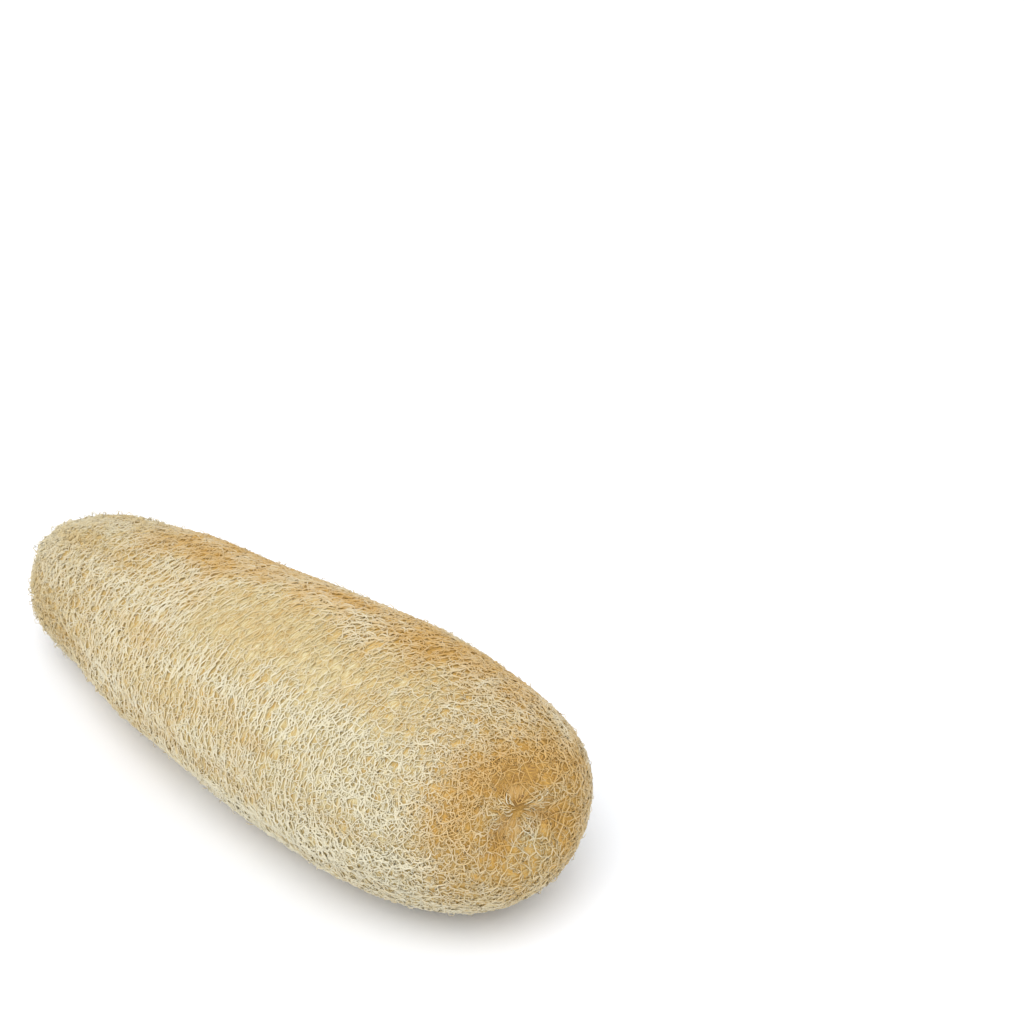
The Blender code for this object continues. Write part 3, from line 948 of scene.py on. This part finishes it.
def feltMaterial(tint):
    # Tinted by place. Streaks run round the body: their crests are paler, their troughs warmer.
    k = mattedFelt
    material, tree, shader, group = fibreMaterial("mattedFelt", tint, k)
    uv = tree.nodes.new("ShaderNodeUVMap")
    uv.uv_map = "OFBake"
    stretch = tree.nodes.new("ShaderNodeMapping")
    stretch.inputs["Scale"].default_value = k["streaks"]
    tree.links.new(uv.outputs["UV"], stretch.inputs["Vector"])
    streaks = noiseNode(tree, stretch.outputs["Vector"], 1.0, detail=4.0, roughness=0.6)
    streaks.node.inputs["Distortion"].default_value = k["twist"]
    trough = mathNode(tree, "MULTIPLY_ADD", streaks, *k["trough"])
    warm = mathNode(tree, "ADD", attribute(tree, "warmth"), trough)
    tree.links.new(warm, group.inputs["Warmth"])
    crest = mathNode(tree, "MULTIPLY_ADD", streaks, *k["crest"])
    tree.links.new(mathNode(tree, "ADD", attribute(tree, "tone"), crest), group.inputs["Tone"])
    addBump(tree, shader, streaks, *k["bump"])
    return material


def dress(piece, material):
    # Gives a piece its material, and says what it rides on and stands for.
    piece.data.materials.append(material)
    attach(piece, "root")
    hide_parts("loofah")


studio = {
    "floor": (0.94, 0.96, 1.0, 1.0),
    "floorRoughness": 0.9,
    "floorSize": 12.0,
    "world": ((1.0, 1.0, 1.0, 1.0), 0.975),  # colour and strength
    "keyAt": (0.53, -0.95, 1.68),
    "keySize": 1.7,
    "keyPower": 20.5,
    "aim": (0.0, 0.0, 0.04),
}

viewpoint = {
    "azimuth": 46.6, "elevation": 29.9, "distance": 0.8256, "lens": 70.3, "sensor": 36.0,
    "aside": 0.1002,  # how far the loofah lies left of the view's middle
    "below": 0.0976,  # and below it
}


def makeFloor():
    # A square at the height of the ground.
    half = studio["floorSize"] / 2
    corners = [(half * x, half * y, 0) for x, y in ((-1, -1), (1, -1), (1, 1), (-1, 1))]
    mesh = bpy.data.meshes.new("floor")
    mesh.from_pydata(corners, [], [(0, 1, 2, 3)])
    floor = bpy.data.objects.new("floor", mesh)
    bpy.context.scene.collection.objects.link(floor)
    material = bpy.data.materials.new("paleFloor")
    material.use_nodes = True
    given = material.node_tree.nodes["Principled BSDF"].inputs
    given["Base Color"].default_value = studio["floor"]
    given["Roughness"].default_value = studio["floorRoughness"]
    mesh.materials.append(material)


def makeLights():
    # An even white world, and one soft key light: a disk that faces the aim.
    world = bpy.data.worlds.new("studio")
    world.use_nodes = True
    given = world.node_tree.nodes["Background"].inputs
    given["Color"].default_value, given["Strength"].default_value = studio["world"]
    bpy.context.scene.world = world
    data = bpy.data.lights.new("key", "AREA")
    data.shape = "DISK"
    data.size = studio["keySize"]
    data.energy = studio["keyPower"]
    light = bpy.data.objects.new("key", data)
    light.location = studio["keyAt"]
    light.rotation_euler = (Vector(studio["aim"]) - light.location).to_track_quat("-Z", "Y").to_euler()
    bpy.context.scene.collection.objects.link(light)


def makeCamera():
    # It looks back from the azimuth and elevation, slid in its own plane.
    k = viewpoint
    a, e = math.radians(k["azimuth"]), math.radians(k["elevation"])
    back = Vector((math.sin(a) * math.cos(e), -math.cos(a) * math.cos(e), math.sin(e)))
    right = Vector((math.cos(a), math.sin(a), 0))
    up = back.cross(right)
    data = bpy.data.cameras.new("camera")
    data.lens = k["lens"]
    data.sensor_width = k["sensor"]
    data.clip_start = 0.01
    camera = bpy.data.objects.new("camera", data)
    bpy.context.scene.collection.objects.link(camera)
    place = back * k["distance"] + right * k["aside"] + up * k["below"]
    place.x += skin["toMiddle"][0]
    place.y += skin["toMiddle"][1]
    camera.matrix_world = Matrix.Translation(place) @ Matrix((right, up, back)).transposed().to_4x4()
    bpy.context.scene.camera = camera


print("camera and studio")
makeCamera()
makeFloor()
makeLights()
bpy.context.scene.view_settings.view_transform = "Standard"

tint = fibreTint()
dress(makeFelt(), feltMaterial(tint))
strand = strandMaterial(tint)
for make, pieces in (
    (makeStrands, {"innerStrands": innerStrands}),
    (makeNet, {"lowerNet": lowerNet, "middleNet": middleNet, "upperNet": upperNet}),
    (makeStrands, {"curlyStrands": curlyStrands, "capCurls": capCurls, "arms": arms}),
    (makeHairs, {"looseHairs": looseHairs, "stemCurls": stemCurls}),
    (makeScarFibres, {"scarTufts": scarTufts, "scarThreads": scarThreads}),
    (makeSpecks, {"specks": specks}),
):
    for name, k in pieces.items():
        dress(make(name, k), strand)
